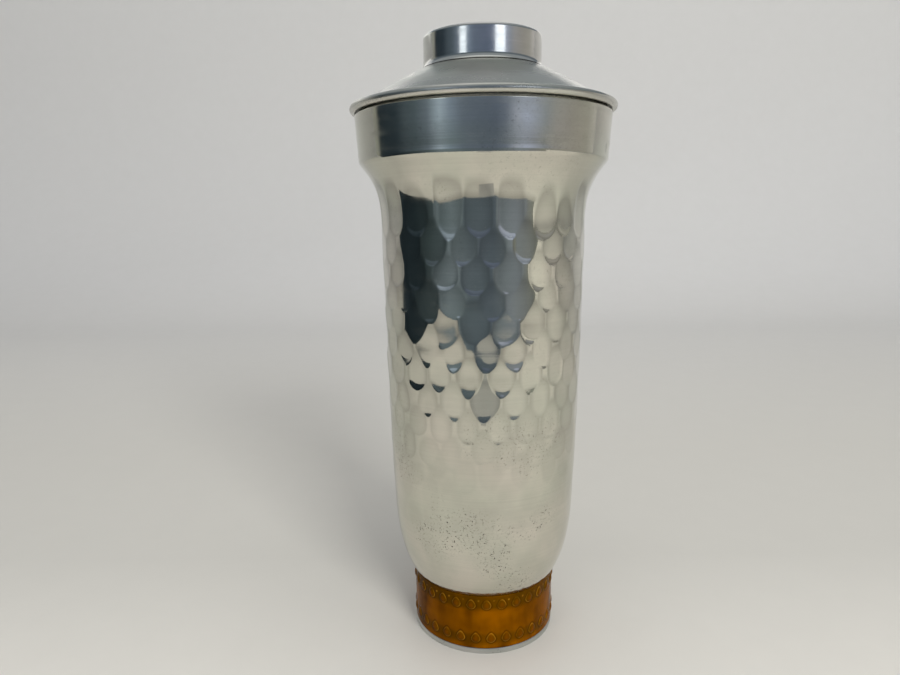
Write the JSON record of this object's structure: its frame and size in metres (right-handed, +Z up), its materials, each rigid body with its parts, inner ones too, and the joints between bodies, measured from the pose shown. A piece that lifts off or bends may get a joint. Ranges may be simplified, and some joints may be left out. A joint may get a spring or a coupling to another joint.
{
  "type": "cocktail shaker",
  "caption": "Tall aluminium cocktail shaker: hammered tapering cup with a plain collar on a moulded foot ring, plug-in domed cover with a rolled bead, strainer spout and cap.",
  "frame": {"origin": "centre of the foot disc's underside, on the shaker's axis", "axes": "+Z up along the shaker's axis towards the cap; -Y is the front"},
  "size_m": [0.1232, 0.1232, 0.2892],
  "materials": {
    "hammered_aluminium": "hand-hammered and polished, collar brushed",
    "satin_aluminium": "spun, satin brushed round the axis",
    "foot_aluminium": "plain pressed, worn dull",
    "amber_resin": "translucent amber cast resin, moulded beads",
    "black_rubber": "moulded, matte",
    "fibre_washer": "pressed red fibre",
    "cork": "natural cork, sanded",
    "plated_steel": "zinc plated"
  },
  "bodies": {
    "cup": {"shaker_body": "hammered_aluminium", "ring_gasket": "black_rubber", "base_ring": "amber_resin", "base_plate": "foot_aluminium", "base_stud": "plated_steel", "flat_washer": "plated_steel", "lock_washer": "plated_steel", "base_nut": "plated_steel"},
    "cover": {"lid_dome": "satin_aluminium", "lid_skirt": "satin_aluminium", "lid_seal": "black_rubber", "pour_neck": "satin_aluminium", "neck_gasket": "fibre_washer", "strainer": "satin_aluminium", "strainer_rivet_1": "satin_aluminium", "strainer_rivet_2": "satin_aluminium", "strainer_rivet_3": "satin_aluminium"},
    "cap": {"cap_shell": "satin_aluminium", "cap_cork": "cork"}
  },
  "joints": [
    {"name": "lid_lift", "type": "slide", "parent": "cup", "child": "cover", "axis": [0, 0, 1], "range_m": [0, 0.06]},
    {"name": "cap_pull", "type": "slide", "parent": "cover", "child": "cap", "axis": [0, 0, 1], "range_m": [0, 0.03]}
  ]
}
